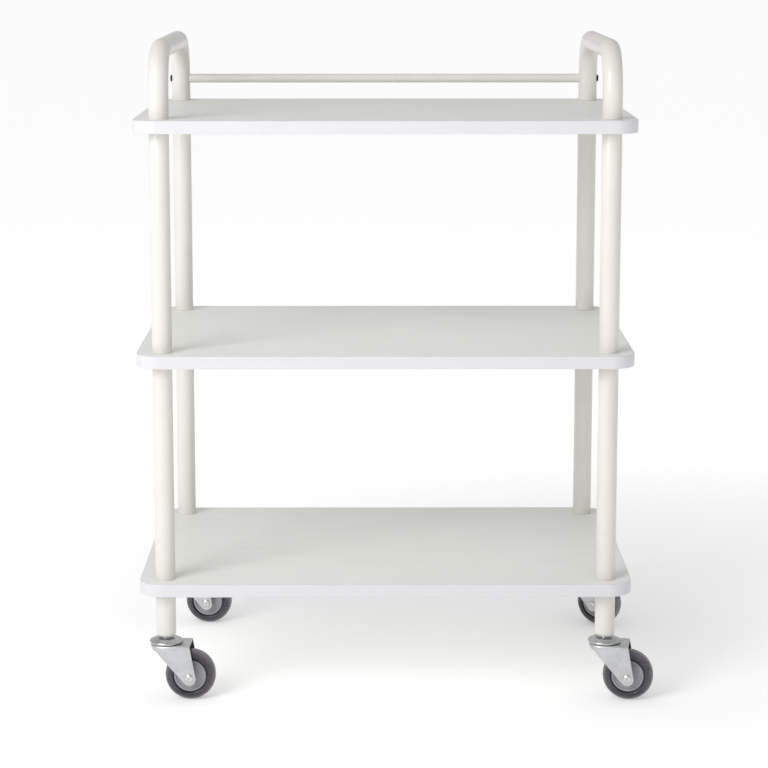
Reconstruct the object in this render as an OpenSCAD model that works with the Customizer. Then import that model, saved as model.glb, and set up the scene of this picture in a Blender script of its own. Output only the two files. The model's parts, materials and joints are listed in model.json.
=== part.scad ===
// Rolling salon trolley: three laminated boards clamped between steel tubes, on four swivel casters.
// Millimetres, +Z up. The origin is on the floor, midway between the four swivel axes.
// +X runs along the shelves, +Y points to the back, where the rail is.

/* [Shelves] */
// Length of a shelf along X
shelf_l = 620; // [560:10:700]
// Depth of a shelf along Y
shelf_d = 410; // [360:10:460]
// Thickness of a shelf
shelf_t = 16; // [15:1:22]
// Radius of a shelf's corners, seen from above
shelf_r = 32; // [26:1:45]
// Thickness of the edge band
band_t = 1; // [0.5:0.5:2]
// Height of the bottom shelf's upper face
shelf_z = 156; // [150:1:190]
// Height from one shelf's upper face to the next
shelf_pitch = 290; // [240:5:340]

/* [Tubes] */
// Outer diameter of the posts, legs and hoops
tube_d = 25; // [22:1:28]
// Wall of the posts, legs and hoops
tube_wall = 1.5; // [1:0.25:2]
// Distance of a post's axis from the shelf's edges
post_inset = 32; // [26:1:45]
// Height of a handle hoop above the top shelf
hoop_h = 96; // [90:1:140]
// Bend radius of a handle hoop, at the tube's centre
hoop_r = 50; // [35:1:60]

/* [Rail] */
// Outer diameter of the back rail
rail_d = 12; // [10:1:16]
// Height of the rail's axis above the top shelf
rail_h = 30; // [24:1:40]

/* [Casters] */
// Diameter of a wheel
wheel_d = 64; // [60:1:66]
// Width of a wheel's tread
wheel_w = 24; // [20:1:26]
// Distance from the swivel axis to the axle
trail = 30.5; // [26:0.5:32]
// Height of the fork's crown above the floor
fork_z = 73; // [72:1:76]
// Outer width of the fork
fork_w = 41; // [38:1:44]
// Height of the leg's lower end above the floor
leg_z = 84; // [84:1:88]
// Turn of the front left caster from +X, towards the front
turn_front_left = 2; // [-180:1:180]
// Turn of the front right caster
turn_front_right = 9; // [-180:1:180]
// Turn of the rear left caster
turn_rear_left = 8; // [-180:1:180]
// Turn of the rear right caster
turn_rear_right = 35; // [-180:1:180]

/* [Hidden] */
$fn = 64;
// Clearance that keeps glued, pressed and threaded faces apart
fit = 0.03;
// Radial clearance of a turning fit
run = 0.06;

// Levels: name and height of the upper face
LEVELS = [
    ["bottom", shelf_z],
    ["middle", shelf_z + shelf_pitch],
    ["top", shelf_z + 2 * shelf_pitch]
];
// Corners: name, side along X, side along Y, turn of the caster
CORNERS = [
    ["front_left", -1, -1, turn_front_left],
    ["front_right", 1, -1, turn_front_right],
    ["rear_left", -1, 1, turn_rear_left],
    ["rear_right", 1, 1, turn_rear_right]
];
SIDES = [["left", -1], ["right", 1]];

post_x = shelf_l / 2 - post_inset;
post_y = shelf_d / 2 - post_inset;
bottom_z = LEVELS[0][1];
middle_z = LEVELS[1][1];
top_z = LEVELS[2][1];
tube_in = tube_d - 2 * tube_wall;

// M8 studs through the boards, and the threaded plugs welded into the tube ends
stud_d = 8;
stud_hole_d = 9;
stud_bite = 12;
plug_l = 14;
leg_plug_l = 20;

// Handle hoop
hoop_axis_z = top_z + hoop_h - tube_d / 2;

// Rail and its M6 button-head screws
rail_z = top_z + rail_h;
rail_wall = 1.5;
rail_plug_l = 18;
screw_d = 6;
screw_hole_d = 6.4;
screw_head_d = 10.5;
screw_head_h = 3;
screw_bite = 14;
screw_seat = 0.5;
hex_key = 4;

// Caster stem (M10), its jam nut and the race cup
stem_d = 10;
king_d = 12;
king_head_d = 19;
king_head_h = 3;
nut_af = 17;
cup_top_z = fork_z + 7.2;
cup_d = 42.4;
cup_sheet = 1.7;
cup_flat_r = 10.5;
dome_r = 10.8;
bead_r = 1.8;
cup_gap = 0.3;

// Ball ring between the cup and the fork's crown
ball_d = 6;
ball_ring_r = 12.5;
ball_count = 12;
ball_z = fork_z + 2.4;

// Fork: pressed from sheet, with its cheeks running back to the axle
sheet_t = 2;
fork_r = fork_w / 2;
fold_r = 3;
crown_back = 31;
nose_x = -11;
nose_r = 8;
axle_z = wheel_d / 2;
eye_r = 8.2;
eye_drop = 2;

// Axle bolt (M6), its nut and the steel sleeve that the wheel turns on
axle_d = 6;
axle_head_d = 10;
axle_head_h = 2.8;
axle_nut_af = 10;
axle_nut_h = 5;
axle_tip = 1.5;
sleeve_d = 8;
sleeve_half = fork_r - sheet_t - 0.1;

// Wheel: moulded hub with a middle rib that keys into the cast tread
hub_r = 20.3;
hub_half = 10.5;
hub_dish_r = 17.6;
hub_dish = 1.2;
boss_r = 7.5;
boss_half = fork_r - sheet_t - 0.5;
rib_r = 23;
rib_half = 5;
groove_w = 1;
groove_depth = 2.2;
tread_round = 9;

function corner_names(prefix, suffix = "") = [for (c = CORNERS) str(prefix, c[0], suffix)];

// ---- helpers ----

module at_corner(c)
    translate([c[1] * post_x, c[2] * post_y, 0]) children();

module at_caster(c)
    at_corner(c) rotate([0, 0, -c[3]]) children();

module at_axle()
    translate([trail, 0, axle_z]) rotate([90, 0, 0]) children();

// Rounded rectangle, smaller by the inset all round
module shelf_outline(inset = 0) {
    l = shelf_l - 2 * inset;
    d = shelf_d - 2 * inset;
    r = shelf_r - inset;
    square([l - 2 * r, d], center = true);
    square([l, d - 2 * r], center = true);
    for (sx = [-1, 1], sy = [-1, 1])
        translate([sx * (l / 2 - r), sy * (d / 2 - r)]) circle(r);
}

module pipe(d_out, d_in, h)
    difference() {
        cylinder(d = d_out, h = h);
        translate([0, 0, -1]) cylinder(d = d_in, h = h + 2);
    }

module hex_nut(af, bore_d, h)
    difference() {
        cylinder(d = af / cos(30), h = h, $fn = 6);
        translate([0, 0, -1]) cylinder(d = bore_d, h = h + 2);
    }

// ---- shelves ----

module shelf_board(z)
    color("ghostwhite")
    translate([0, 0, z - shelf_t])
    difference() {
        linear_extrude(shelf_t) shelf_outline(band_t);
        for (c = CORNERS)
            at_corner(c) translate([0, 0, -1]) cylinder(d = stud_hole_d, h = shelf_t + 2);
    }

module edge_band(z)
    color("white")
    translate([0, 0, z - shelf_t])
    difference() {
        linear_extrude(shelf_t) shelf_outline();
        translate([0, 0, -1]) linear_extrude(shelf_t + 2) shelf_outline(band_t - fit);
    }

// ---- tubes ----

module post(c, z_low, z_high)
    color("ivory")
    at_corner(c) translate([0, 0, z_low]) pipe(tube_d, tube_in, z_high - z_low);

// Solid bar along the hoop's path; the legs start below the shelf's face by the extra length
module hoop_bar(d, extra = 0) {
    bend_z = hoop_axis_z - hoop_r;
    for (m = [0, 1])
        mirror([0, m, 0]) {
            translate([0, post_y, top_z - extra]) cylinder(d = d, h = bend_z - top_z + extra);
            translate([0, post_y - hoop_r, bend_z])
                rotate([0, 90, 0])
                rotate_extrude(angle = 90, start = 90) translate([hoop_r, 0]) circle(d = d);
        }
    translate([0, 0, hoop_axis_z]) rotate([90, 0, 0])
        cylinder(d = d, h = 2 * (post_y - hoop_r), center = true);
}

module handle_hoop(side)
    color("ivory")
    translate([side * post_x, 0, 0])
    difference() {
        hoop_bar(tube_d);
        hoop_bar(tube_in, 1);
        translate([0, post_y, rail_z]) rotate([0, 90, 0])
            cylinder(d = screw_hole_d, h = 2 * tube_d, center = true);
        // Spot face for the screw's head on the outer side
        translate([side * (tube_d / 2 - screw_seat), post_y, rail_z]) rotate([0, side * 90, 0])
            cylinder(d = screw_head_d + 0.4, h = tube_d);
    }

// ---- rail ----

module back_rail()
    color("ivory")
    difference() {
        translate([0, post_y, rail_z]) rotate([0, 90, 0])
            difference() {
                cylinder(d = rail_d, h = 2 * post_x - tube_d + 4, center = true);
                cylinder(d = rail_d - 2 * rail_wall, h = 2 * post_x, center = true);
            }
        // Ends notched to sit on the hoops
        for (s = SIDES)
            translate([s[1] * post_x, 0, 0]) hoop_bar(tube_d + 2 * fit);
    }

module rail_plugs()
    color("silver")
    for (s = SIDES)
        translate([s[1] * (post_x - tube_d / 2 - 0.1), post_y, rail_z]) rotate([0, -s[1] * 90, 0])
            pipe(rail_d - 2 * rail_wall - 2 * fit, screw_d + 2 * fit, rail_plug_l);

module rail_screws()
    color("dimgray")
    for (s = SIDES)
        translate([s[1] * (post_x + tube_d / 2 - screw_seat), post_y, rail_z]) rotate([0, s[1] * 90, 0])
            difference() {
                union() {
                    // Button head: a low dome
                    intersection() {
                        translate([0, 0, screw_head_h - 6.5]) sphere(r = 6.5);
                        cylinder(d = screw_head_d, h = screw_head_h);
                    }
                    translate([0, 0, -(tube_d + screw_bite)]) cylinder(d = screw_d, h = tube_d + screw_bite + 0.5);
                }
                translate([0, 0, 1]) cylinder(d = hex_key / cos(30), h = screw_head_h, $fn = 6);
            }

// ---- joints between tubes and boards ----

module tube_plugs()
    color("silver")
    for (v = LEVELS, c = CORNERS, z = [v[1], v[1] - shelf_t - plug_l])
        at_corner(c) translate([0, 0, z]) pipe(tube_in - 2 * fit, stud_d + 2 * fit, plug_l);

module shelf_studs()
    color("gray")
    for (v = LEVELS, c = CORNERS)
        at_corner(c) translate([0, 0, v[1] - shelf_t - stud_bite])
            cylinder(d = stud_d, h = shelf_t + 2 * stud_bite);

module leg_plugs()
    color("silver")
    for (c = CORNERS)
        at_corner(c) translate([0, 0, leg_z]) pipe(tube_in - 2 * fit, stem_d + 2 * fit, leg_plug_l);

// ---- casters ----

module stem_nuts()
    color("silver")
    for (c = CORNERS)
        at_caster(c) translate([0, 0, cup_top_z]) hex_nut(nut_af, stem_d + 2 * fit, leg_z - cup_top_z);

// Threaded stem with the king pin and its riveted head, turned in one piece
module stem(c) {
    head_z = fork_z - sheet_t - cup_gap;
    tip_z = leg_z + leg_plug_l - 2;
    color("silver")
    at_caster(c)
    rotate_extrude()
        polygon([
            [0, head_z - king_head_h],
            [king_head_d / 2 - 1.5, head_z - king_head_h],
            [king_head_d / 2, head_z - king_head_h + 1.5],
            [king_head_d / 2, head_z],
            [king_d / 2, head_z],
            [king_d / 2, cup_top_z],
            [stem_d / 2, cup_top_z],
            [stem_d / 2, tip_z - 1],
            [stem_d / 2 - 1, tip_z],
            [0, tip_z]
        ]);
}

// Points along an arc round c, from angle a0 to a1
function arc(c, r, a0, a1, steps) =
    [for (i = [0 : steps]) let (a = a0 + (a1 - a0) * i / steps) c + r * [cos(a), sin(a)]];

// Pressed cup, fixed to the stem above the balls: a flat top, a domed flank and a rolled rim
module race_cup(c) {
    hole_r = king_d / 2 + fit;
    ceiling_z = cup_top_z - cup_sheet;
    dome = [cup_flat_r, cup_top_z - dome_r];
    bead = [cup_d / 2 - bead_r, fork_z + cup_gap + bead_r];
    color("lightsteelblue")
    at_caster(c)
    rotate_extrude()
        polygon(concat(
            [[hole_r, ceiling_z], [hole_r, cup_top_z]],
            arc(dome, dome_r, 90, 42, 8),
            arc(bead, bead_r, 120, -160, 16),
            [[ball_ring_r + 3.4, ball_z + 1.6], [ball_ring_r + 1, ceiling_z]]
        ));
}

module race_balls(c)
    color("lightgray")
    at_caster(c)
    for (i = [0 : ball_count - 1])
        rotate([0, 0, i * 360 / ball_count]) translate([ball_ring_r, 0, ball_z]) sphere(d = ball_d);

// Point where the line from p touches the circle round c; side is 1 or -1
function touch(p, c, r, side) =
    let (v = p - c, a = atan2(v[1], v[0]) + side * acos(r / norm(v)))
    c + r * [cos(a), sin(a)];

// Outline of a cheek seen from the side; its round end reaches a little further below the axle than above
module cheek_outline() {
    eye = [trail, axle_z - eye_drop];
    toe = [nose_x, fork_z - nose_r];
    heel = [crown_back, fork_z];
    intersection() {
        translate([nose_x, fork_z]) circle(nose_r);
        translate([nose_x - nose_r, fork_z - nose_r]) square([nose_r, nose_r]);
    }
    polygon([
        [nose_x, fork_z],
        toe,
        touch(toe, eye, eye_r, 1),
        eye,
        touch(heel, eye, eye_r, -1),
        heel
    ]);
    translate(eye) circle(eye_r);
}

// Half section of the sheet: crown, fold and one cheek
module sheet_section() {
    low = axle_z - eye_drop - eye_r - 1;
    difference() {
        union() {
            translate([0, low]) square([fork_r, fork_z - fold_r - low]);
            translate([0, low]) square([fork_r - fold_r, fork_z - low]);
            translate([fork_r - fold_r, fork_z - fold_r]) circle(fold_r);
        }
        translate([0, low - 1]) square([fork_r - sheet_t, fork_z - fold_r - low + 1]);
        translate([0, low - 1]) square([fork_r - fold_r, fork_z - sheet_t - low + 1]);
        translate([fork_r - fold_r, fork_z - fold_r]) circle(fold_r - sheet_t);
    }
}

// Fork: round at the nose, straight from the swivel axis to the back
module fork(c) {
    back = trail + eye_r + 1;
    color("gainsboro")
    at_caster(c)
    difference() {
        intersection() {
            union() {
                rotate_extrude(angle = 180, start = 90) sheet_section();
                for (m = [0, 1])
                    mirror([0, m, 0]) rotate([90, 0, 90]) linear_extrude(back) sheet_section();
            }
            rotate([90, 0, 0]) linear_extrude(2 * fork_w, center = true) cheek_outline();
        }
        cylinder(d = king_d + 2 * run, h = 2 * fork_z);
        rotate_extrude() translate([ball_ring_r, ball_z]) circle(d = ball_d + 0.2);
        at_axle() cylinder(d = axle_d + 2 * fit, h = 2 * fork_w, center = true);
    }
}

// Bolt with a domed head on one cheek and a nut on the other
module axle_bolt(c) {
    dome_r = 6.2;
    color("whitesmoke")
    at_caster(c) at_axle() {
        translate([0, 0, fork_r])
            intersection() {
                translate([0, 0, axle_head_h - dome_r]) sphere(dome_r);
                cylinder(d = axle_head_d, h = axle_head_h);
            }
        translate([0, 0, -(fork_r + axle_nut_h + axle_tip)])
            cylinder(d = axle_d, h = 2 * fork_r + axle_nut_h + axle_tip + 0.5);
        translate([0, 0, -(fork_r + axle_nut_h)]) hex_nut(axle_nut_af, axle_d + 2 * fit, axle_nut_h);
    }
}

module axle_sleeve(c)
    color("silver")
    at_caster(c) at_axle() translate([0, 0, -sleeve_half])
        pipe(sleeve_d, axle_d + 2 * fit, 2 * sleeve_half);

// Right half of the hub's section, from the bore to the rib
function hub_half_section() = [
    [sleeve_d / 2 + run, boss_half],
    [boss_r - 0.8, boss_half],
    [boss_r, boss_half - 0.8],
    [boss_r, hub_half - hub_dish],
    [hub_dish_r - 0.6, hub_half - hub_dish],
    [hub_dish_r, hub_half],
    [hub_r - 0.6, hub_half],
    [hub_r, hub_half - 0.6],
    [hub_r, rib_half],
    [rib_r, rib_half]
];

module wheel_hub(c) {
    right = hub_half_section();
    left = [for (i = [len(right) - 1 : -1 : 0]) [right[i][0], -right[i][1]]];
    color("darkgray")
    at_caster(c) at_axle() rotate_extrude() polygon(concat(right, left));
}

// Tread: rounded shoulders, and a narrow groove round the hub on each side
module wheel_tread(c) {
    r = wheel_d / 2;
    h = wheel_w / 2;
    color("slategray")
    at_caster(c) at_axle()
    rotate_extrude()
        difference() {
            union() {
                translate([0, -h]) square([r - tread_round, wheel_w]);
                translate([0, tread_round - h]) square([r, wheel_w - 2 * tread_round]);
                for (s = [-1, 1])
                    translate([r - tread_round, s * (h - tread_round)]) circle(tread_round);
            }
            square([2 * (hub_r + fit), 2 * wheel_w], center = true);
            square([2 * (rib_r + fit), 2 * (rib_half + fit)], center = true);
            for (s = [-1, 1])
                translate([hub_r + groove_w / 2, s * h]) square([groove_w, 2 * groove_depth], center = true);
        }
}

// ---- nodes ----

for (v = LEVELS) {
    shelf_board(v[1]);
    edge_band(v[1]);
}
for (s = SIDES)
    handle_hoop(s[1]);
for (c = CORNERS) {
    post(c, middle_z, top_z - shelf_t);
    post(c, bottom_z, middle_z - shelf_t);
    post(c, leg_z, bottom_z - shelf_t);
    stem(c);
    race_cup(c);
    race_balls(c);
    fork(c);
    axle_bolt(c);
    axle_sleeve(c);
    wheel_hub(c);
    wheel_tread(c);
}
back_rail();
rail_plugs();
rail_screws();
tube_plugs();
leg_plugs();
shelf_studs();
stem_nuts();
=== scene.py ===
# Rolling salon trolley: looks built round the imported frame.
# Every piece is in metres and sits where the frame's own nodes are.
import json
import math

import bmesh
import bpy
from mathutils import Matrix, Vector


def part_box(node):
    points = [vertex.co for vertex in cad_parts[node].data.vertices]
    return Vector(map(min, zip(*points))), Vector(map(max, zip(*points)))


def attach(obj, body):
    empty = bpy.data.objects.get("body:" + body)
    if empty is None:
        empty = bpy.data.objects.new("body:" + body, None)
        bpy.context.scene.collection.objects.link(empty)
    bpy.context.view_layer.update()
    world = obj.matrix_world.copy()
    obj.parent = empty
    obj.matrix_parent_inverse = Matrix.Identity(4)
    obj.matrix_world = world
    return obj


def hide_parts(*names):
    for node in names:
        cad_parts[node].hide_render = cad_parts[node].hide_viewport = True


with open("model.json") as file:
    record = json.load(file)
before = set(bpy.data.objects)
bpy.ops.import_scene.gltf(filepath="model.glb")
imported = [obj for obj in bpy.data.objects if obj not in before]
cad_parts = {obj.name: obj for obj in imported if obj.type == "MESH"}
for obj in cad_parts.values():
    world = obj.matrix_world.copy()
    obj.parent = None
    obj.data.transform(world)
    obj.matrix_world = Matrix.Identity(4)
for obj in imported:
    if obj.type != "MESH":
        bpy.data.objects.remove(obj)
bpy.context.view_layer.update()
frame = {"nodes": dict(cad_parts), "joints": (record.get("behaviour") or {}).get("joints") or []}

bl_info = {
    "name": "Rolling Salon Trolley",
    "version": (1, 0, 0),
    "blender": (4, 5, 0),
    "location": "3D View > Sidebar > Trolley",
    "description": "Builds the shelves, tubes, casters and finishes of a salon trolley",
    "category": "Object",
}

MM = 0.001
LEVELS = ("bottom", "middle", "top")
SIDES = ("left", "right")
CORNERS = ("front_left", "front_right", "rear_left", "rear_right")
FIT = 0.03  # gap between fitted pieces, mm


# ---- sizes read from the frame ----

def centre(node):
    """Middle of a frame node's box."""
    low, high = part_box(node)
    return (low + high) / 2


JOINTS = {joint["name"]: joint for joint in frame["joints"]}


def caster_frame(corner):
    """From a caster's own axes to the trolley's: origin on the floor under the swivel, X trailing."""
    swivel = JOINTS[f"{corner}_swivel"]["pos_m"]
    axle = Vector(JOINTS[f"{corner}_roll"]["axis"])
    turn = math.atan2(-axle.x, axle.y)
    return Matrix.Translation((swivel[0], swivel[1], 0)) @ Matrix.Rotation(turn, 4, "Z")


def axle_frame(corner):
    """From a wheel's own axes to the trolley's: origin at the axle, Z along it to the front cheek."""
    axle = caster_frame(corner).inverted() @ Vector(JOINTS[f"{corner}_roll"]["pos_m"])
    return caster_frame(corner) @ Matrix.Translation(axle) @ Matrix.Rotation(math.pi / 2, 4, "X")


def reach(node, place, axis):
    """How far a frame node reaches along one of a place's own axes, in mm."""
    inverse = place.inverted()
    return max(abs((inverse @ v.co)[axis]) for v in frame["nodes"][node].data.vertices) / MM


def srgb(hex_code):
    """Linear colour from an sRGB hex code."""
    parts = [int(hex_code[i:i + 2], 16) / 255 for i in (1, 3, 5)]
    return tuple(c / 12.92 if c <= 0.04045 else ((c + 0.055) / 1.055) ** 2.4 for c in parts)


# ---- settings a user would change ----

def colour_property(name, description, hex_code):
    return bpy.props.FloatVectorProperty(
        name=name, description=description, subtype="COLOR", size=3, min=0, max=1, default=srgb(hex_code))


def length_property(name, description, value):
    return bpy.props.FloatProperty(
        name=name, description=description, unit="LENGTH", subtype="DISTANCE", min=0, default=value * MM)


def power_property(name, description, value):
    return bpy.props.FloatProperty(name=name, description=description, unit="POWER", default=value)


def strength_property(name, description, value):
    return bpy.props.FloatProperty(name=name, description=description, min=0, default=value)


class TrolleyShelfSettings(bpy.types.PropertyGroup):
    corner_radius: length_property("Corner radius", "Radius of a shelf's corners seen from above", 32)
    band: length_property("Edging", "Thickness of the edging", 1)
    arris: length_property("Arris", "Rounding that the scraper leaves on the edging", 0.7)
    face_colour: colour_property("Face", "Colour of the laminate", "#E8E8E4")
    edge_colour: colour_property("Edge", "Colour of the edging", "#D1D1D4")


class TrolleyTubeSettings(bpy.types.PropertyGroup):
    wall: length_property("Wall", "Wall of the posts and hoops", 1.5)
    end_round: length_property("End rounding", "Rounding of the sawn and coated tube ends", 0.5)
    foot_round: length_property("Foot rounding", "Rounding of the legs' lower ends", 1.2)
    bend_radius: length_property("Bend radius", "Radius of a hoop's bends at the tube's centre", 50)
    colour: colour_property("Powder coat", "Colour of the powder coat", "#D7D5CE")


class TrolleyCasterSettings(bpy.types.PropertyGroup):
    sheet_round: length_property("Sheet edge", "Rounding of the pressed sheet's edges", 0.35)
    dome_radius: length_property("Cup's dome", "Radius of the domed flank of a swivel cup", 10.8)
    bead_radius: length_property("Cup's rim", "Radius of the rolled rim of a swivel cup", 1.8)
    hub_radius: length_property("Hub", "Outer radius of the hub's face", 20.3)
    tread_round: length_property("Tread rounding", "Rounding of the tread's shoulders", 9)
    zinc_colour: colour_property("Zinc", "Colour of the zinc plating", "#CBCCCD")
    hub_colour: colour_property("Hub", "Colour of the moulded hub", "#959598")
    tread_colour: colour_property("Tread", "Colour of the cast tread's skin", "#A19DA4")


class TrolleyStageSettings(bpy.types.PropertyGroup):
    key_power: power_property("Key light", "Power of the large light at the front left", 37)
    high_power: power_property("High light", "Power of the light above the front left", 18)
    front_power: power_property("Front light", "Power of the far light in front", 6)
    floor_glow: strength_property("Floor glow", "The floor's own light under the trolley", 0.3)
    far_glow: strength_property("Far floor glow", "The floor's own light further away", 0.52)


def group_property(kind, name, description):
    return bpy.props.PointerProperty(type=kind, name=name, description=description)


class TrolleySettings(bpy.types.PropertyGroup):
    shelves: group_property(TrolleyShelfSettings, "Shelves", "Boards and edging")
    tubes: group_property(TrolleyTubeSettings, "Tubes", "Posts, legs and hoops")
    casters: group_property(TrolleyCasterSettings, "Casters", "Forks and wheels")
    stage: group_property(TrolleyStageSettings, "Stage", "Floor and light")


def settings():
    """The trolley's settings in this scene."""
    return bpy.context.scene.trolley


# ---- mesh helpers ----

def bevel(bm, edges, width, segments=2):
    bmesh.ops.bevel(bm, geom=edges, offset=width, offset_type="OFFSET", segments=segments, profile=0.5,
                    affect="EDGES", clamp_overlap=True, material=-1)


def arc(middle, radius, start, end, count):
    """Round stretch of a section for lathe, in mm, from one angle to another in degrees."""
    turns = [math.radians(start + (end - start) * i / count) for i in range(count + 1)]
    return [(middle[0] + radius * math.cos(a), middle[1] + radius * math.sin(a), 0) for a in turns]


def ring(bm, radius, height):
    """Edges that lie on the circle of that radius at that height round Z."""
    def on_ring(v):
        return abs(math.hypot(v.co.x, v.co.y) - radius) < 1e-6 and abs(v.co.z - height) < 1e-6
    return [e for e in bm.edges if on_ring(e.verts[0]) and on_ring(e.verts[1])]


def lathe(profile, steps=72, closed=True):
    """Turns a section of (radius, height, softness) in mm round Z; each soft corner is rounded."""
    bm = bmesh.new()
    verts = [bm.verts.new((r * MM, 0, z * MM)) for r, z, soft in profile]
    pairs = list(zip(verts, verts[1:]))
    if closed:
        pairs.append((verts[-1], verts[0]))
    edges = [bm.edges.new(pair) for pair in pairs]
    bmesh.ops.spin(bm, geom=verts + edges, cent=(0, 0, 0), axis=(0, 0, 1), dvec=(0, 0, 0),
                   angle=2 * math.pi, steps=steps, use_merge=True, use_duplicate=False)
    bmesh.ops.remove_doubles(bm, verts=bm.verts[:], dist=1e-7)
    bmesh.ops.recalc_face_normals(bm, faces=bm.faces[:])
    for r, z, soft in profile:
        if soft:
            bevel(bm, ring(bm, r * MM, z * MM), soft * MM, 3)
    return bm


def rounded_block(length, depth, radius, low, high):
    """Closed block with rounded corners seen from above."""
    bm = bmesh.new()
    bmesh.ops.create_cube(bm, size=1)
    bmesh.ops.scale(bm, vec=(length, depth, high - low), verts=bm.verts[:])
    bmesh.ops.translate(bm, vec=(0, 0, (low + high) / 2), verts=bm.verts[:])
    upright = [e for e in bm.edges if abs(e.verts[0].co.z - e.verts[1].co.z) > 1e-4]
    bevel(bm, upright, radius, 16)
    return bm


def extrude_ring(bm, edges, step):
    """Draws an open ring of edges out by one step and returns the new ring."""
    grown = bmesh.ops.extrude_edge_only(bm, edges=edges)["geom"]
    bmesh.ops.translate(bm, vec=step, verts=[g for g in grown if isinstance(g, bmesh.types.BMVert)])
    return [g for g in grown if isinstance(g, bmesh.types.BMEdge)]


def spin_ring(bm, edges, pivot, axis, angle, steps):
    """Swings an open ring of edges round an axis and returns the last ring."""
    verts = list({v for e in edges for v in e.verts})
    turned = bmesh.ops.spin(bm, geom=verts + edges, cent=pivot, axis=axis, dvec=(0, 0, 0), angle=angle,
                            steps=steps, use_merge=False, use_duplicate=False)["geom_last"]
    return [g for g in turned if isinstance(g, bmesh.types.BMEdge)]


def soft_copy(node, width, angle=40):
    """Merged copy of a frame node with its sharp edges rounded."""
    bm = bmesh.new()
    bm.from_mesh(frame["nodes"][node].data)
    bmesh.ops.remove_doubles(bm, verts=bm.verts[:], dist=2e-6)
    bmesh.ops.dissolve_limit(bm, angle_limit=math.radians(0.6), verts=bm.verts[:], edges=bm.edges[:],
                             use_dissolve_boundaries=False, delimit=set())
    sharp = [e for e in bm.edges if e.is_manifold and e.calc_face_angle(0) > math.radians(angle)]
    bevel(bm, sharp, width, 2)
    return bm


def merge_into(bm, other):
    """Adds another mesh to this one as a separate shell."""
    spare = bpy.data.meshes.new("spare")
    other.to_mesh(spare)
    other.free()
    bm.from_mesh(spare)
    bpy.data.meshes.remove(spare)


def hex_prism(across_flats, low, high, bore=None):
    """Six-sided block along Z, in mm, with a round bore if one is given."""
    bm = bmesh.new()
    radius = across_flats / 2 / math.cos(math.pi / 6) * MM
    outer = bmesh.ops.create_circle(bm, segments=6, radius=radius, cap_ends=not bore)["verts"]
    bmesh.ops.translate(bm, vec=(0, 0, low * MM), verts=outer)
    if bore:
        inner = bmesh.ops.create_circle(bm, segments=36, radius=bore / 2 * MM, cap_ends=False)["verts"]
        bmesh.ops.translate(bm, vec=(0, 0, low * MM), verts=inner)
        bmesh.ops.bridge_loops(bm, edges=bm.edges[:])
    grown = bmesh.ops.extrude_face_region(bm, geom=bm.faces[:])["geom"]
    raised = [g for g in grown if isinstance(g, bmesh.types.BMVert)]
    bmesh.ops.translate(bm, vec=(0, 0, (high - low) * MM), verts=raised)
    bmesh.ops.recalc_face_normals(bm, faces=bm.faces[:])
    # The outer corners and arrises: the bore's edges all lie well inside
    corners = [e for e in bm.edges if min(math.hypot(v.co.x, v.co.y) for v in e.verts) > 0.9 * radius]
    bevel(bm, corners, 0.45 * MM, 2)
    return bm


def hex_socket(bm, mouth_radius, top, key, depth):
    """Closes the open mouth of a head with a flat ring and a six-sided socket, in mm."""
    mouth = ring(bm, mouth_radius * MM, top * MM)
    radius = key / 2 / math.cos(math.pi / 6) * MM
    rim = bmesh.ops.create_circle(bm, segments=6, radius=radius, cap_ends=False)["verts"]
    bmesh.ops.translate(bm, vec=(0, 0, top * MM), verts=rim)
    rim_edges = list({e for v in rim for e in v.link_edges})
    bmesh.ops.bridge_loops(bm, edges=mouth + rim_edges)
    floor_edges = extrude_ring(bm, rim_edges, (0, 0, -depth * MM))
    bmesh.ops.contextual_create(bm, geom=floor_edges)
    bmesh.ops.recalc_face_normals(bm, faces=bm.faces[:])


def piece(name, bm, material, body, replaced, place=None, smooth_angle=32):
    """Makes a finished piece of a mesh, gives it its material and ties it to the frame."""
    if place is not None:
        bmesh.ops.transform(bm, matrix=place, verts=bm.verts[:])
    mesh = bpy.data.meshes.new(name)
    bm.to_mesh(mesh)
    bm.free()
    mesh.shade_smooth()
    mesh.set_sharp_from_angle(angle=math.radians(smooth_angle))
    mesh.materials.append(material)
    obj = bpy.data.objects.new(name, mesh)
    bpy.context.scene.collection.objects.link(obj)
    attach(obj, body)
    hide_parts(*replaced)
    return obj


def dress(node, material):
    """Gives a frame node that stays in view its finish."""
    slots = frame["nodes"][node].data.materials
    slots.clear()
    slots.append(material)


# ---- materials ----

def new_material(name):
    """Empty material and its Principled shader."""
    material = bpy.data.materials.get(name)
    if material:
        return material, None
    material = bpy.data.materials.new(name)
    material.use_nodes = True
    return material, material.node_tree.nodes["Principled BSDF"]


def add(owner, kind, inputs=None, **options):
    """Adds a shader node with its settings; an input that is a socket is linked, any other is set."""
    made = owner.node_tree.nodes.new(kind)
    for key, value in options.items():
        setattr(made, key, value)
    for key, value in (inputs or {}).items():
        if isinstance(value, bpy.types.NodeSocket):
            owner.node_tree.links.new(value, made.inputs[key])
        else:
            made.inputs[key].default_value = value
    return made


def connect(owner, shader, sockets):
    """Links sockets to a shader's inputs by name."""
    for key, value in sockets.items():
        owner.node_tree.links.new(value, shader.inputs[key])


def grain(owner, size_mm, detail=2.0, stretch=(1, 1, 1), rough=0.5):
    """Noise whose blobs are about size_mm across, longer where the stretch is more than 1."""
    coords = add(owner, "ShaderNodeTexCoord")
    scale = tuple(1 / s for s in stretch)
    mapping = add(owner, "ShaderNodeMapping", {"Vector": coords.outputs["Object"], "Scale": scale})
    noise = add(owner, "ShaderNodeTexNoise", {
        "Vector": mapping.outputs["Vector"],
        "Scale": 1 / (size_mm * MM),
        "Detail": detail,
        "Roughness": rough,
    })
    return noise.outputs["Fac"]


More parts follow.
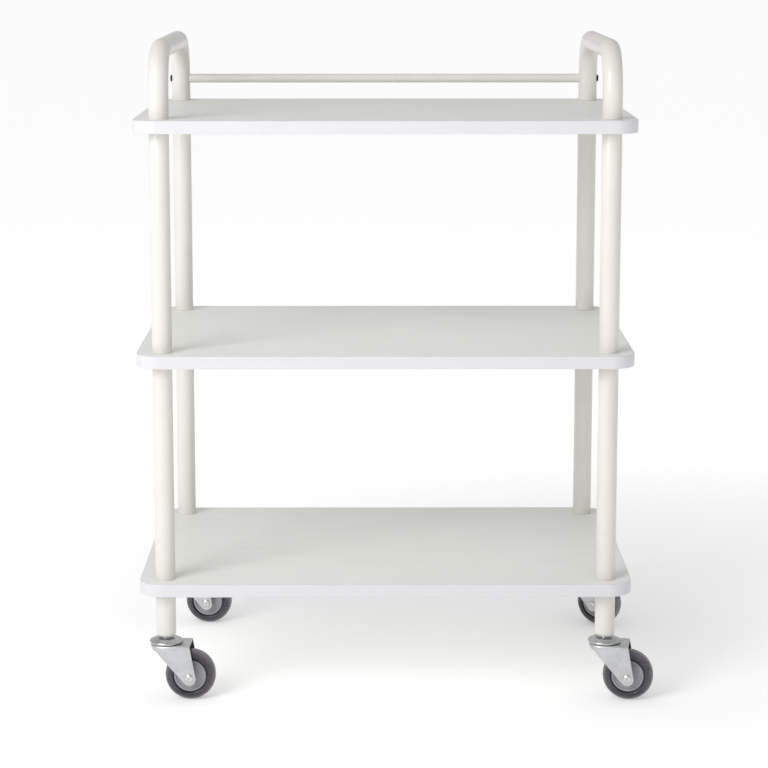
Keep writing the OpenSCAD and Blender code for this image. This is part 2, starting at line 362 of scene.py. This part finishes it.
def ranged(owner, value, low, high, start=0.3, end=0.7):
    """Maps a value from start and end, by default a noise's usual reach, to low and high."""
    scaled = add(owner, "ShaderNodeMapRange", {
        "Value": value, "From Min": start, "From Max": end, "To Min": low, "To Max": high})
    return scaled.outputs["Result"]


def computed(owner, operation, first, second):
    """Result of a math operation on two values or sockets, kept from 0 to 1."""
    made = add(owner, "ShaderNodeMath", {0: first, 1: second}, operation=operation, use_clamp=True)
    return made.outputs[0]


def mark(owner, name):
    """Value that the mesh's own vertices carry under that name."""
    return add(owner, "ShaderNodeAttribute", attribute_name=name).outputs["Fac"]


def blended(owner, factor, first, second):
    """Mix of two colours, or of a colour socket and a colour."""
    mixed = add(owner, "ShaderNodeMix", data_type="RGBA")
    colours = [s for s in mixed.inputs if s.type == "RGBA"]
    owner.node_tree.links.new(factor, mixed.inputs[0])
    for socket, value in zip(colours, (first, second)):
        if isinstance(value, bpy.types.NodeSocket):
            owner.node_tree.links.new(value, socket)
        else:
            socket.default_value = (*value, 1)
    return next(s for s in mixed.outputs if s.type == "RGBA")


def bumped(owner, height, depth_mm):
    """Normal of a relief that many mm deep."""
    inputs = {"Height": height, "Distance": depth_mm * MM, "Strength": 1.0}
    return add(owner, "ShaderNodeBump", inputs).outputs["Normal"]


def tinted(colour, factor):
    """Colour made darker or lighter by a factor."""
    return tuple(min(1, c * factor) for c in colour)


def white_melamine(colour):
    # Melamine laminate, pressed against a pearled plate: satin white, fine pebble, faint wiping marks
    owner, shader = new_material("white_melamine_laminate")
    if shader is None:
        return owner
    shader.inputs["IOR"].default_value = 1.5
    clouds = ranged(owner, grain(owner, 70, 3), 0, 1)
    wiping = grain(owner, 16, 4, (9, 1, 1))
    pebble = grain(owner, 1.6, 1)  # real pearl is 0.4 mm; drawn coarser so that it shows
    faces = blended(owner, clouds, tuple(colour), tinted(colour, 0.972))
    faces = blended(owner, ranged(owner, wiping, 0, 0.5, 0.58, 0.8), faces, tinted(colour, 0.93))
    connect(owner, shader, {
        "Base Color": faces,
        "Roughness": ranged(owner, wiping, 0.34, 0.47),
        "Normal": bumped(owner, pebble, 0.03),
    })
    return owner


def white_edging(colour):
    # ABS edging, extruded, glued and scraped: a little cooler and smoother, with fine lines along the edge
    owner, shader = new_material("white_abs_edging")
    if shader is None:
        return owner
    shader.inputs["IOR"].default_value = 1.52
    lines = grain(owner, 1.5, 2, (60, 60, 1))
    shade = grain(owner, 45, 2)
    connect(owner, shader, {
        "Base Color": blended(owner, ranged(owner, shade, 0, 1), tuple(colour), tinted(colour, 0.975)),
        "Roughness": ranged(owner, lines, 0.3, 0.42),
        "Normal": bumped(owner, lines, 0.02),
    })
    return owner


def powder_coat(colour):
    # Polyester powder coat, sprayed and baked on steel tube: warm ivory gloss with orange peel, specks
    # and duller patches
    owner, shader = new_material("ivory_powder_coat")
    if shader is None:
        return owner
    shader.inputs["IOR"].default_value = 1.5
    shader.inputs["Coat Weight"].default_value = 0.25
    shader.inputs["Coat Roughness"].default_value = 0.12
    peel = grain(owner, 2.2, 2)
    patches = grain(owner, 38, 3)
    specks = grain(owner, 1.4, 0)
    paint = blended(owner, ranged(owner, patches, 0, 1), tuple(colour), tinted(colour, 0.968))
    paint = blended(owner, ranged(owner, specks, 0, 0.35, 0.74, 0.8), paint, tinted(colour, 0.7))
    connect(owner, shader, {
        "Base Color": paint,
        "Roughness": ranged(owner, patches, 0.3, 0.42),
        "Normal": bumped(owner, peel, 0.035),
    })
    return owner


def zinc_plate(name, colour, roughness, bump_mm):
    # Zinc plate, electroplated on cold-rolled sheet: cool satin metal with a faint rolled grain,
    # dull patches, and painted shade, near black, where the mesh is marked for it
    owner, shader = new_material(name)
    if shader is None:
        return owner
    shader.inputs["Metallic"].default_value = 1
    rolled = grain(owner, 1.4, 3, (1, 1, 14))
    patches = grain(owner, 9, 3)
    spots = grain(owner, 2.6, 1)
    metal = blended(owner, ranged(owner, patches, 0, 1), tuple(colour), tinted(colour, 0.9))
    metal = blended(owner, ranged(owner, spots, 0, 0.5, 0.66, 0.8), metal, tinted(colour, 0.72))
    # Painted shade: base colour near black where the mesh is marked for it, inside the forks
    metal = blended(owner, mark(owner, "painted_shade"), metal, tinted(colour, 0.16))
    connect(owner, shader, {
        "Base Color": metal,
        "Roughness": ranged(owner, patches, roughness - 0.06, roughness + 0.08),
        "Normal": bumped(owner, rolled, bump_mm),
    })
    return owner


def turned_steel(name, colour, roughness):
    # Bright steel, turned or ground: fine rings round Z and a few dull spots of oil
    owner, shader = new_material(name)
    if shader is None:
        return owner
    shader.inputs["Metallic"].default_value = 1
    rings = grain(owner, 0.9, 2, (30, 30, 1))
    spots = grain(owner, 5, 3)
    connect(owner, shader, {
        "Base Color": blended(owner, ranged(owner, spots, 0, 1), colour, tinted(colour, 0.85)),
        "Roughness": ranged(owner, spots, roughness, roughness + 0.12),
        "Normal": bumped(owner, rings, 0.02),
    })
    return owner


def grey_polypropylene(colour):
    # Polypropylene, injection moulded in a spark-eroded tool: even matt grey with a fine leathery grain
    owner, shader = new_material("grey_polypropylene_hub")
    if shader is None:
        return owner
    shader.inputs["IOR"].default_value = 1.49
    eroded = grain(owner, 1.1, 3)  # real grain is 0.2 mm; drawn coarser so that it shows
    flow = grain(owner, 7, 3)
    connect(owner, shader, {
        "Base Color": blended(owner, ranged(owner, flow, 0, 1), tuple(colour), tinted(colour, 0.86)),
        "Roughness": ranged(owner, eroded, 0.4, 0.56),
        "Normal": bumped(owner, eroded, 0.05),
    })
    return owner


def smoky_polyurethane(colour):
    # Polyurethane, cast clear and tinted: glossy smoky violet, darker where it is thick,
    # milky and scuffed where it rolls, with painted shade, near black and opaque, in the groove round the
    # hub
    owner, shader = new_material("smoky_polyurethane_tread")
    if shader is None:
        return owner
    shader.inputs["IOR"].default_value = 1.5
    rolled = mark(owner, "rolled")
    painted_shade = mark(owner, "painted_shade")
    haze = grain(owner, 12, 3)
    scuffs = grain(owner, 1.8, 4)
    body = blended(owner, ranged(owner, haze, 0, 1), tuple(colour), tinted(colour, 0.86))
    # Painted shade: the groove round the hub turns near black and stops letting light through
    body = blended(owner, painted_shade, body, srgb("#17100F"))
    scuffed = computed(owner, "MULTIPLY", rolled, ranged(owner, scuffs, 0.1, 0.24))
    roughness = computed(owner, "ADD", scuffed, ranged(owner, haze, 0.02, 0.05))
    milky = computed(owner, "MULTIPLY", rolled, 0.35)
    closed = computed(owner, "ADD", milky, painted_shade)
    connect(owner, shader, {
        "Base Color": body,
        "Roughness": roughness,
        "Transmission Weight": ranged(owner, closed, 0.96, 0, 0, 1),
        "Normal": bumped(owner, scuffs, 0.01),
    })
    depth = add(owner, "ShaderNodeVolumeAbsorption", {"Color": (*srgb("#8C8494"), 1), "Density": 105})
    output = next(n for n in owner.node_tree.nodes if n.type == "OUTPUT_MATERIAL")
    owner.node_tree.links.new(depth.outputs["Volume"], output.inputs["Volume"])
    return owner


def pale_floor(near_glow, far_glow):
    # Painted board, rolled: pale and matt, with a light of its own that keeps it near white
    owner, shader = new_material("pale_studio_floor")
    shader.inputs["Base Color"].default_value = (0.8, 0.8, 0.8, 1)
    shader.inputs["Roughness"].default_value = 0.9
    shader.inputs["Specular IOR Level"].default_value = 0.1
    shader.inputs["Emission Color"].default_value = (1, 1, 1, 1)
    coords = add(owner, "ShaderNodeTexCoord")
    distance = add(owner, "ShaderNodeVectorMath", {0: coords.outputs["Object"]}, operation="LENGTH")
    glow = ranged(owner, distance.outputs["Value"], near_glow, far_glow, 0.4, 1.4)  # metres from the middle
    connect(owner, shader, {"Emission Strength": glow})
    return owner


# ---- operators ----

class TROLLEY_OT_stage(bpy.types.Operator):
    """Makes the camera, the pale floor and the soft studio light"""
    bl_idname = "trolley.stage"
    bl_label = "Stage"

    def execute(self, context):
        s = settings().stage
        self.make_camera(context.scene)
        self.make_floor(context.scene, pale_floor(s.floor_glow, s.far_glow))
        self.make_light("key_softbox", (-1.9, -2.2, 1.6), (1.4, 1.2), s.key_power)
        self.make_light("high_softbox", (-1.3, -1.9, 2.2), (1.6, 1.4), s.high_power)
        self.make_light("front_panel", (0.3, -4.5, 1.2), (3, 2), s.front_power)
        self.make_sky(context.scene)
        context.scene.view_settings.view_transform = "Standard"
        return {"FINISHED"}

    def make_camera(self, scene):
        data = bpy.data.cameras.new("camera")
        data.lens = 110.8
        data.sensor_width = 36
        data.shift_y = -0.0794
        data.clip_start = 0.1
        data.clip_end = 200
        camera = bpy.data.objects.new("camera", data)
        camera.location = (-0.0129, -3.0712, 0.9534)
        camera.rotation_euler = (math.radians(90 - 9.222), 0, math.radians(-0.217))
        scene.collection.objects.link(camera)
        scene.camera = camera

    def make_floor(self, scene, material):
        bm = bmesh.new()
        bmesh.ops.create_circle(bm, segments=96, radius=60, cap_ends=True)
        mesh = bpy.data.meshes.new("floor")
        bm.to_mesh(mesh)
        bm.free()
        mesh.materials.append(material)
        floor = bpy.data.objects.new("floor", mesh)
        scene.collection.objects.link(floor)

    def make_light(self, name, place, size, power):
        data = bpy.data.lights.new(name, "AREA")
        data.shape = "RECTANGLE"
        data.size, data.size_y = size
        data.energy = power
        lamp = bpy.data.objects.new(name, data)
        lamp.location = place
        middle = Vector((0, 0, 0.42))  # half way up the trolley
        aim = middle - Vector(place)
        lamp.rotation_euler = aim.to_track_quat("-Z", "Y").to_euler()
        bpy.context.scene.collection.objects.link(lamp)

    def make_sky(self, scene):
        """Even grey sky, a little darker overhead."""
        horizon, zenith = (0.665, 0.665, 0.67), (0.5, 0.5, 0.505)
        world = bpy.data.worlds.new("studio")
        world.use_nodes = True
        scene.world = world
        coords = add(world, "ShaderNodeTexCoord")
        parts = add(world, "ShaderNodeSeparateXYZ", {"Vector": coords.outputs["Generated"]})
        level = ranged(world, parts.outputs["Z"], 0, 1, 0, 1)
        sky = blended(world, level, horizon, zenith)
        world.node_tree.links.new(sky, world.node_tree.nodes["Background"].inputs["Color"])


class TROLLEY_OT_shelves(bpy.types.Operator):
    """Builds the three laminated boards and the edging round them"""
    bl_idname = "trolley.shelves"
    bl_label = "Shelves"

    def execute(self, context):
        s = settings().shelves
        for level in LEVELS:
            low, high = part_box(f"{level}_edge_band")
            length, depth = high.x - low.x, high.y - low.y
            inner = (length - 2 * s.band, depth - 2 * s.band, s.corner_radius - s.band)
            board = rounded_block(*inner, low.z, high.z)
            piece(f"{level}_laminated_board", board, white_melamine(s.face_colour),
                  "frame", [f"{level}_shelf_board"])
            edging = rounded_block(*inner, low.z, high.z)
            caps = [f for f in edging.faces if abs(f.normal.z) > 0.5]
            bmesh.ops.delete(edging, geom=caps, context="FACES_ONLY")
            bmesh.ops.solidify(edging, geom=edging.faces[:], thickness=-s.band)
            rim = [e for e in edging.edges if self.outer_rim(e, length, depth, low.z, high.z)]
            bevel(edging, rim, s.arris, 4)
            piece(f"{level}_edging", edging, white_edging(s.edge_colour),
                  "frame", [f"{level}_edge_band"])
        return {"FINISHED"}

    def outer_rim(self, edge, length, depth, low, high):
        """True for the edging's outer arrises at its top and bottom."""
        s = settings().shelves
        flat = abs(edge.verts[0].co.z - edge.verts[1].co.z) < 1e-6
        least = s.corner_radius - s.band / 2
        return flat and all(self.from_corner(v.co, length, depth) > least for v in edge.verts)

    def from_corner(self, point, length, depth):
        """Distance from the rectangle of the corner centres."""
        radius = settings().shelves.corner_radius
        x = max(abs(point.x) - (length / 2 - radius), 0)
        y = max(abs(point.y) - (depth / 2 - radius), 0)
        return math.hypot(x, y)


class TROLLEY_OT_posts(bpy.types.Operator):
    """Builds the posts between the boards and the legs below them"""
    bl_idname = "trolley.posts"
    bl_label = "Posts and legs"

    def execute(self, context):
        s = settings().tubes
        coat = powder_coat(s.colour)
        end = s.end_round / MM
        foot = s.foot_round / MM
        inner_round = 0.2
        parts = (
            ("upper_post", "upper_tube", end),
            ("lower_post", "lower_tube", end),
            ("leg", "leg_tube", foot),
        )
        for part, name, soft in parts:
            for corner in CORNERS:
                node = f"{part}_{corner}"
                low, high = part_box(node)
                outer = (high.x - low.x) / 2 / MM
                inner = outer - s.wall / MM
                tube = lathe([
                    (outer, low.z / MM, soft), (outer, high.z / MM, end),
                    (inner, high.z / MM, inner_round), (inner, low.z / MM, inner_round)])
                middle = centre(node)
                place = Matrix.Translation((middle.x, middle.y, 0))
                piece(f"{name}_{corner}", tube, coat, "frame", [node], place)
        return {"FINISHED"}


class TROLLEY_OT_hoops(bpy.types.Operator):
    """Bends the two handle hoops from one tube each"""
    bl_idname = "trolley.hoops"
    bl_label = "Handle hoops"

    def execute(self, context):
        s = settings().tubes
        for side in SIDES:
            node = f"{side}_handle_hoop"
            low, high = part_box(node)
            radius = (high.x - low.x) / 2
            x = (low.x + high.x) / 2
            leg_y = high.y - radius
            bend_z = high.z - radius - s.bend_radius
            bm = bmesh.new()
            foot = bmesh.ops.create_circle(bm, segments=56, radius=radius, cap_ends=False)["verts"]
            bmesh.ops.translate(bm, vec=(x, leg_y, low.z), verts=foot)
            quarter, bend_steps = math.pi / 2, 18
            bend_y = leg_y - s.bend_radius
            loop = extrude_ring(bm, bm.edges[:], (0, 0, bend_z - low.z))
            loop = spin_ring(bm, loop, (x, bend_y, bend_z), (1, 0, 0), quarter, bend_steps)
            loop = extrude_ring(bm, loop, (0, -2 * bend_y, 0))
            loop = spin_ring(bm, loop, (x, -bend_y, bend_z), (1, 0, 0), quarter, bend_steps)
            extrude_ring(bm, loop, (0, 0, low.z - bend_z))
            bmesh.ops.remove_doubles(bm, verts=bm.verts[:], dist=1e-7)
            bmesh.ops.recalc_face_normals(bm, faces=bm.faces[:])
            bmesh.ops.solidify(bm, geom=bm.faces[:], thickness=s.wall)
            feet = [e for e in bm.edges if all(abs(v.co.z - low.z) < 1e-6 for v in e.verts)
                    and self.from_leg(e, x, leg_y) > radius - s.wall / 2]
            bevel(bm, feet, s.end_round, 3)
            piece(f"{side}_bent_hoop", bm, powder_coat(s.colour), "frame", [node])
        return {"FINISHED"}

    def from_leg(self, edge, x, leg_y):
        """Distance from the nearer leg's axis to the edge's nearer end."""
        return min(math.hypot(v.co.x - x, abs(v.co.y) - leg_y) for v in edge.verts)


class TROLLEY_OT_rail(bpy.types.Operator):
    """Finishes the back rail and builds the screws that hold it"""
    bl_idname = "trolley.rail"
    bl_label = "Back rail"
    head_height = 3

    def execute(self, context):
        dress("back_rail", powder_coat(settings().tubes.colour))
        black = zinc_plate("black_oxide_screw", srgb("#3A3A3C"), 0.38, 0.01)
        rail = centre("back_rail")
        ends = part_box("rail_screws")
        screws = bmesh.new()
        for sign, end in zip((-1, 1), ends):
            seat = end.x - sign * self.head_height * MM
            screw = self.button_screw()
            place = Matrix.Translation((seat, rail.y, rail.z)) @ Matrix.Rotation(sign * math.pi / 2, 4, "Y")
            bmesh.ops.transform(screw, matrix=place, verts=screw.verts[:])
            merge_into(screws, screw)
        piece("rail_button_screws", screws, black, "frame", ["rail_screws"])
        return {"FINISHED"}

    def button_screw(self):
        """M6 button head over its shank, with its seat at the origin."""
        radius, length, top = 3, 39, self.head_height
        mouth, key, socket_depth = 2.6, 4, 2
        screw = lathe([
            (radius, 0, 0), (5.25, 0, 0.15), (5.25, 0.7, 0.5), (4.7, 1.75, 0.6), (3.5, 2.7, 0.5),
            (mouth, top, 0)], 40, closed=False)
        hex_socket(screw, mouth, top, key, socket_depth)
        tip = extrude_ring(screw, ring(screw, radius * MM, 0), (0, 0, -length * MM))
        bmesh.ops.contextual_create(screw, geom=tip)
        bmesh.ops.recalc_face_normals(screw, faces=screw.faces[:])
        return screw


class TROLLEY_OT_forks(bpy.types.Operator):
    """Builds the swivel cups, the pressed forks and the jam nuts"""
    bl_idname = "trolley.forks"
    bl_label = "Cups and forks"

    def execute(self, context):
        s = settings().casters
        fork_zinc = zinc_plate("zinc_plated_sheet", s.zinc_colour, 0.42, 0.012)
        cup_zinc = zinc_plate("zinc_plated_cup", tinted(s.zinc_colour, 0.92), 0.24, 0.006)
        for corner in CORNERS:
            node = f"{corner}_fork"
            piece(f"{corner}_swivel_cup", self.cup(corner), cup_zinc,
                  "frame", [f"{corner}_race_cup"], caster_frame(corner))
            fork = soft_copy(node, s.sheet_round)
            # The fork's inner faces get painted shade
            self.paint_shade_inside(fork, caster_frame(corner), reach(node, axle_frame(corner), 2))
            piece(f"{corner}_pressed_fork", fork, fork_zinc, f"{corner}_caster", [node])
        nuts = bmesh.new()
        nut_width, nut_bore = 17, 10.1
        low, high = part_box("stem_nuts")
        for corner in CORNERS:
            nut = hex_prism(nut_width, low.z / MM, high.z / MM, nut_bore)
            bmesh.ops.transform(nut, matrix=caster_frame(corner), verts=nut.verts[:])
            merge_into(nuts, nut)
        piece("leg_jam_nuts", nuts, cup_zinc, "frame", ["stem_nuts"])
        return {"FINISHED"}

    def paint_shade_inside(self, bm, place, half):
        """Marks the fork's inner faces behind the swivel for painted shade, which turns them near black."""
        skin = 1 * MM  # less than the sheet's thickness
        inverse = place.inverted()
        top = max(v.co.z for v in bm.verts)
        painted_shade = bm.verts.layers.float.new("painted_shade")
        for v in bm.verts:
            local = inverse @ v.co
            inner = local.x > 0 and abs(local.y) < half * MM - skin and local.z < top - skin
            v[painted_shade] = 1 if inner else 0

    def cup(self, corner):
        """Pressed sheet: flat top, domed flank, rolled rim, and the ball track inside."""
        s = settings().casters
        dome, bead = s.dome_radius / MM, s.bead_radius / MM
        low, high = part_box(f"{corner}_race_cup")
        outer, rim, top = (high.x - low.x) / 2 / MM, low.z / MM, high.z / MM
        bore, sheet, flat = 6 + FIT, 1.7, 10.5
        track, track_drop, ceiling = 15.9, 3.2, 13.5
        section = [(bore, top - sheet, 0), (bore, top, 0.2)]
        section += arc((flat, top - dome), dome, 90, 42, 12)
        section += arc((outer - bead, rim + bead), bead, 120, -160, 24)
        section += [(track, top - track_drop, 0.5), (ceiling, top - sheet, 0.5)]
        return lathe(section, 96)


class TROLLEY_OT_axles(bpy.types.Operator):
    """Builds the axle screws with their nuts"""
    bl_idname = "trolley.axles"
    bl_label = "Axles"

    def execute(self, context):
        bright = turned_steel("nickel_plated_screw", srgb("#DCDCDA"), 0.12)
        for corner in CORNERS:
            screw = self.screw(reach(f"{corner}_fork", axle_frame(corner), 2))
            piece(f"{corner}_axle_screw", screw, bright,
                  f"{corner}_caster", [f"{corner}_axle_bolt"], axle_frame(corner))
        return {"FINISHED"}

    def screw(self, cheek):
        """M6 screw with a domed head on one cheek and a nut on the other."""
        radius, head, tip = 3, 5, cheek + 6.5
        mouth, top, key, socket_depth = 2.1, cheek + 2.8, 3, 1.6
        nut_width, nut_height, nut_bore = 10, 5, 2 * (radius + FIT)
        screw = lathe([
            (radius, -tip, 0.6), (radius, cheek, 0), (head, cheek, 0.1), (head, cheek + 0.9, 0.5),
            (4.3, cheek + 2, 0.6), (2.9, cheek + 2.7, 0.5), (mouth, top, 0)], 48, closed=False)
        hex_socket(screw, mouth, top, key, socket_depth)
        bmesh.ops.contextual_create(screw, geom=[e for e in screw.edges if e.is_boundary])
        bmesh.ops.recalc_face_normals(screw, faces=screw.faces[:])
        merge_into(screw, hex_prism(nut_width, -(cheek + nut_height), -cheek, nut_bore))
        return screw


class TROLLEY_OT_wheels(bpy.types.Operator):
    """Builds the moulded hubs and the cast treads"""
    bl_idname = "trolley.wheels"
    bl_label = "Wheels"

    def execute(self, context):
        s = settings().casters
        for corner in CORNERS:
            place = axle_frame(corner)
            face = s.hub_radius / MM
            node = f"{corner}_wheel_hub"
            hub = self.hub(face, reach(node, place, 2))
            piece(f"{corner}_moulded_hub", hub, grey_polypropylene(s.hub_colour),
                  f"{corner}_wheel", [node], place)
            node = f"{corner}_wheel_tread"
            tread = self.tread(face, reach(node, place, 0), reach(node, place, 2), s.tread_round / MM)
            piece(f"{corner}_cast_tread", tread, smoky_polyurethane(s.tread_colour),
                  f"{corner}_wheel", [node], place)
        return {"FINISHED"}

    def mirrored(self, half):
        """Closed section of one half and its mirror."""
        return half + [(r, -z, soft) for r, z, soft in reversed(half)]

    def hub(self, face, boss):
        """Moulded hub: a boss at the bore, a web, a raised rim and the key inside the tread."""
        bore, boss_radius, key_radius = 4.06, 7.5, 23
        web, rim, key = 9.3, 10.5, 5  # half widths
        bm = lathe(self.mirrored([
            (bore, boss, 0.1), (boss_radius, boss, 0.6), (boss_radius, web, 0.5), (16.9, web, 0.4),
            (17.6, rim - 0.2, 0.4), (18.6, rim, 0.3), (face, rim, 0.5), (face, key, 0),
            (key_radius, key, 0.3)]), 96)
        # Marks of the mould's ejector pins
        pin_radius, pin_height, pin_circle, pin_level = 1.15, 0.8, 14, 9.15
        for turn in (20, 140, 260):
            spot = Matrix.Rotation(math.radians(turn), 3, "Z")
            for sign in (-1, 1):
                pin = bmesh.ops.create_cone(
                    bm, cap_ends=True, segments=20, radius1=pin_radius * MM, radius2=pin_radius * MM,
                    depth=pin_height * MM)["verts"]
                bmesh.ops.translate(bm, vec=(pin_circle * MM, 0, sign * pin_level * MM), verts=pin)
                bmesh.ops.rotate(bm, cent=(0, 0, 0), matrix=spot, verts=pin)
        return bm

    def tread(self, face, radius, half, soft):
        """Cast tread: rounded shoulders, a lip and a groove round the hub's face, and a keyed bore."""
        key_radius, key = 23 + FIT, 5 + FIT
        bore, groove, skin = face + FIT, half - 2.2, 5
        flank = [
            (bore, groove, 0), (face + 1.1, groove, 0.3), (face + 1.2, half - 1.2, 0.6),
            (face + 2.1, half - 0.1, 0.5)]
        shoulder = arc((radius - soft, half - soft), soft, 90, 0, 14)
        inside = [(bore, -key, 0), (key_radius, -key, 0), (key_radius, key, 0), (bore, key, 0)]
        bm = lathe(self.mirrored(flank + shoulder) + inside, 112)
        rolled = bm.verts.layers.float.new("rolled")
        painted_shade = bm.verts.layers.float.new("painted_shade")
        for v in bm.verts:
            from_axle = math.hypot(v.co.x, v.co.y) / MM
            v[rolled] = min(max((from_axle - radius + skin + 0.5) / skin, 0), 1)
            # The groove round the hub is marked for painted shade
            v[painted_shade] = 1 if from_axle < face + 1.3 else 0
        return bm


class TROLLEY_OT_hidden_steel(bpy.types.Operator):
    """Finishes the plugs, studs, stems, balls and sleeves inside"""
    bl_idname = "trolley.hidden_steel"
    bl_label = "Inner steel"

    def execute(self, context):
        plain = turned_steel("turned_steel", srgb("#A9A7A4"), 0.3)
        balls = turned_steel("ground_bearing_steel", srgb("#C9CBD0"), 0.1)
        for node in ("rail_plugs", "tube_plugs", "leg_plugs", "shelf_studs"):
            dress(node, plain)
        for corner in CORNERS:
            dress(f"{corner}_stem", plain)
            dress(f"{corner}_axle_sleeve", plain)
            dress(f"{corner}_race_balls", balls)
        return {"FINISHED"}


class TROLLEY_PT_panel(bpy.types.Panel):
    """Lists the trolley's pieces in the order they are made"""
    bl_idname = "TROLLEY_PT_panel"
    bl_label = "Salon trolley"
    bl_space_type = "VIEW_3D"
    bl_region_type = "UI"
    bl_category = "Trolley"

    def draw(self, context):
        trolley = context.scene.trolley
        for group, operators in PANEL_ROWS:
            box = self.layout.box()
            for key in getattr(trolley, group).bl_rna.properties.keys():
                if key not in ("rna_type", "name"):
                    box.prop(getattr(trolley, group), key)
            for operator in operators:
                box.operator(operator)


PANEL_ROWS = (
    ("stage", ("trolley.stage",)),
    ("shelves", ("trolley.shelves",)),
    ("tubes", ("trolley.posts", "trolley.hoops", "trolley.rail")),
    ("casters", ("trolley.forks", "trolley.axles", "trolley.wheels", "trolley.hidden_steel")),
)
CLASSES = (
    TrolleyShelfSettings, TrolleyTubeSettings, TrolleyCasterSettings, TrolleyStageSettings, TrolleySettings,
    TROLLEY_OT_stage, TROLLEY_OT_shelves, TROLLEY_OT_posts, TROLLEY_OT_hoops, TROLLEY_OT_rail,
    TROLLEY_OT_forks, TROLLEY_OT_axles, TROLLEY_OT_wheels, TROLLEY_OT_hidden_steel, TROLLEY_PT_panel,
)


def register():
    for cls in CLASSES:
        bpy.utils.register_class(cls)
    bpy.types.Scene.trolley = bpy.props.PointerProperty(type=TrolleySettings)


def unregister():
    del bpy.types.Scene.trolley
    for cls in reversed(CLASSES):
        bpy.utils.unregister_class(cls)


def main():
    register()
    bpy.ops.trolley.stage()
    bpy.ops.trolley.shelves()
    bpy.ops.trolley.posts()
    bpy.ops.trolley.hoops()
    bpy.ops.trolley.rail()
    bpy.ops.trolley.forks()
    bpy.ops.trolley.axles()
    bpy.ops.trolley.wheels()
    bpy.ops.trolley.hidden_steel()


if __name__ == "__main__":
    main()
